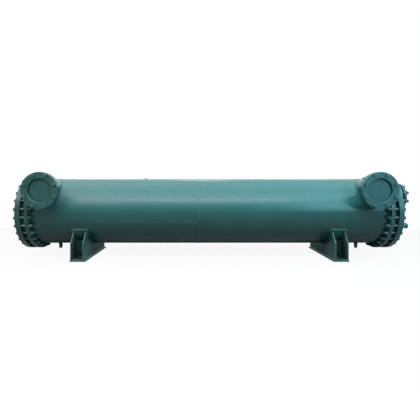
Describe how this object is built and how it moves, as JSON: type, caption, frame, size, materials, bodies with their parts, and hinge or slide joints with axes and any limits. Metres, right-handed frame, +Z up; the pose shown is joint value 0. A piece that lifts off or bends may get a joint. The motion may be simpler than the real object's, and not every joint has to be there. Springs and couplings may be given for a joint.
{
  "type": "shell and tube heat exchanger",
  "caption": "Long horizontal shell and tube heat exchanger on two saddles, with blanked side nozzles and bolted end covers.",
  "frame": {"origin": "on the floor under the shell's axis, midway between the two saddles, at the centre of the four anchor holes", "axes": "+X along the shell towards the end with the gas outlet, +Y towards the back, away from the water nozzles, +Z up"},
  "size_m": [3.984, 0.879, 0.8585],
  "materials": {
    "shell_paint": "semi-gloss teal paint over rolled plate",
    "flange_paint": "semi-gloss teal paint over machined plate",
    "saddle_paint": "satin teal paint over cut plate",
    "gasket": "matt black sheet gasket"
  },
  "bodies": {
    "root": {"shell_course_left": "shell_paint", "shell_course_right": "shell_paint", "shell_flange_left": "flange_paint", "shell_flange_right": "flange_paint", "tubesheet_left": "flange_paint", "tubesheet_right": "flange_paint", "shell_gasket_left": "gasket", "shell_gasket_right": "gasket", "cover_gasket_left": "gasket", "cover_gasket_right": "gasket", "end_cover_left": "flange_paint", "end_cover_right": "flange_paint", "nozzle_neck_left": "shell_paint", "nozzle_neck_right": "shell_paint", "nozzle_flange_left": "flange_paint", "nozzle_flange_right": "flange_paint", "nozzle_blank_left": "flange_paint", "nozzle_blank_right": "flange_paint", "companion_flange_left": "flange_paint", "companion_flange_right": "flange_paint", "drain_coupling_left": "flange_paint", "drain_coupling_right": "flange_paint", "drain_plug_left": "flange_paint", "drain_plug_right": "flange_paint", "saddle_pad_left": "saddle_paint", "saddle_pad_right": "saddle_paint", "saddle_plates_left": "saddle_paint", "saddle_plates_right": "saddle_paint", "saddle_webs_left": "saddle_paint", "saddle_webs_right": "saddle_paint", "saddle_base_left": "saddle_paint", "saddle_base_right": "saddle_paint", "gas_outlet_neck": "shell_paint", "gas_outlet_flange": "flange_paint", "gas_outlet_gaskets": "gasket", "gas_outlet_blank": "flange_paint", "gas_outlet_companion": "flange_paint", "liquid_inlet_pipe": "shell_paint", "liquid_inlet_cap": "flange_paint", "shell_boss_front": "shell_paint", "shell_boss_top": "shell_paint"}
  },
  "joints": []
}
